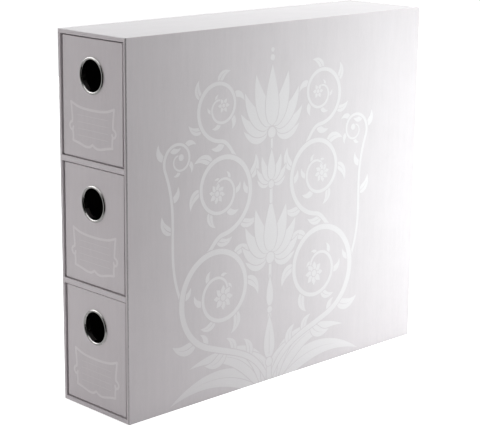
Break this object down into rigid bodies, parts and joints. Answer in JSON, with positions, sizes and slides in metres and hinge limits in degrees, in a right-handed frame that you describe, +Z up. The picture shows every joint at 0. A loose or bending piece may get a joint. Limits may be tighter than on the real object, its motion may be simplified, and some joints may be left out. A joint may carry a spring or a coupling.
{
  "type": "trading card drawer box",
  "caption": "Tall narrow box of wrapped board with long card drawers stacked one above another, each pulled out by a metal finger ring.",
  "frame": {"origin": "middle of the underside, where the base meets what it stands on", "axes": "+Z up, -Y towards the drawer fronts, +X to the right seen from the front"},
  "size_m": [0.085, 0.35, 0.315],
  "materials": {
    "wrapped_board": "satin paper over solid greyboard",
    "printed_card": "satin laminated card with a tone-on-tone ornament",
    "covering_sheet": "satin laminated paper",
    "facing_card": "satin paper over card with a ruled label panel",
    "black_lining": "matte black paper",
    "ring_metal": "bright nickel plate"
  },
  "bodies": {
    "case": {"case_back_board": "wrapped_board", "case_base_board": "wrapped_board", "case_left_board": "wrapped_board", "case_right_board": "wrapped_board", "case_top_board": "wrapped_board", "shelf_1_bottom_ply": "wrapped_board", "shelf_1_top_ply": "wrapped_board", "shelf_2_bottom_ply": "wrapped_board", "shelf_2_top_ply": "wrapped_board", "side_card_left": "printed_card", "side_card_right": "printed_card", "wrap_back": "covering_sheet", "wrap_base": "covering_sheet", "wrap_top": "covering_sheet"},
    "drawer_1": {"drawer_1_back_wall": "wrapped_board", "drawer_1_facing": "facing_card", "drawer_1_floor": "wrapped_board", "drawer_1_front_board": "wrapped_board", "drawer_1_left_wall": "wrapped_board", "drawer_1_lining": "black_lining", "drawer_1_right_wall": "wrapped_board", "drawer_1_ring_face": "ring_metal", "drawer_1_ring_washer": "ring_metal"},
    "drawer_2": {"drawer_2_back_wall": "wrapped_board", "drawer_2_facing": "facing_card", "drawer_2_floor": "wrapped_board", "drawer_2_front_board": "wrapped_board", "drawer_2_left_wall": "wrapped_board", "drawer_2_lining": "black_lining", "drawer_2_right_wall": "wrapped_board", "drawer_2_ring_face": "ring_metal", "drawer_2_ring_washer": "ring_metal"},
    "drawer_3": {"drawer_3_back_wall": "wrapped_board", "drawer_3_facing": "facing_card", "drawer_3_floor": "wrapped_board", "drawer_3_front_board": "wrapped_board", "drawer_3_left_wall": "wrapped_board", "drawer_3_lining": "black_lining", "drawer_3_right_wall": "wrapped_board", "drawer_3_ring_face": "ring_metal", "drawer_3_ring_washer": "ring_metal"}
  },
  "joints": [
    {"name": "drawer_1_slide", "type": "slide", "parent": "case", "child": "drawer_1", "axis": [0, -1, 0], "range_m": [0, 0.3]},
    {"name": "drawer_2_slide", "type": "slide", "parent": "case", "child": "drawer_2", "axis": [0, -1, 0], "range_m": [0, 0.3]},
    {"name": "drawer_3_slide", "type": "slide", "parent": "case", "child": "drawer_3", "axis": [0, -1, 0], "range_m": [0, 0.3]}
  ]
}
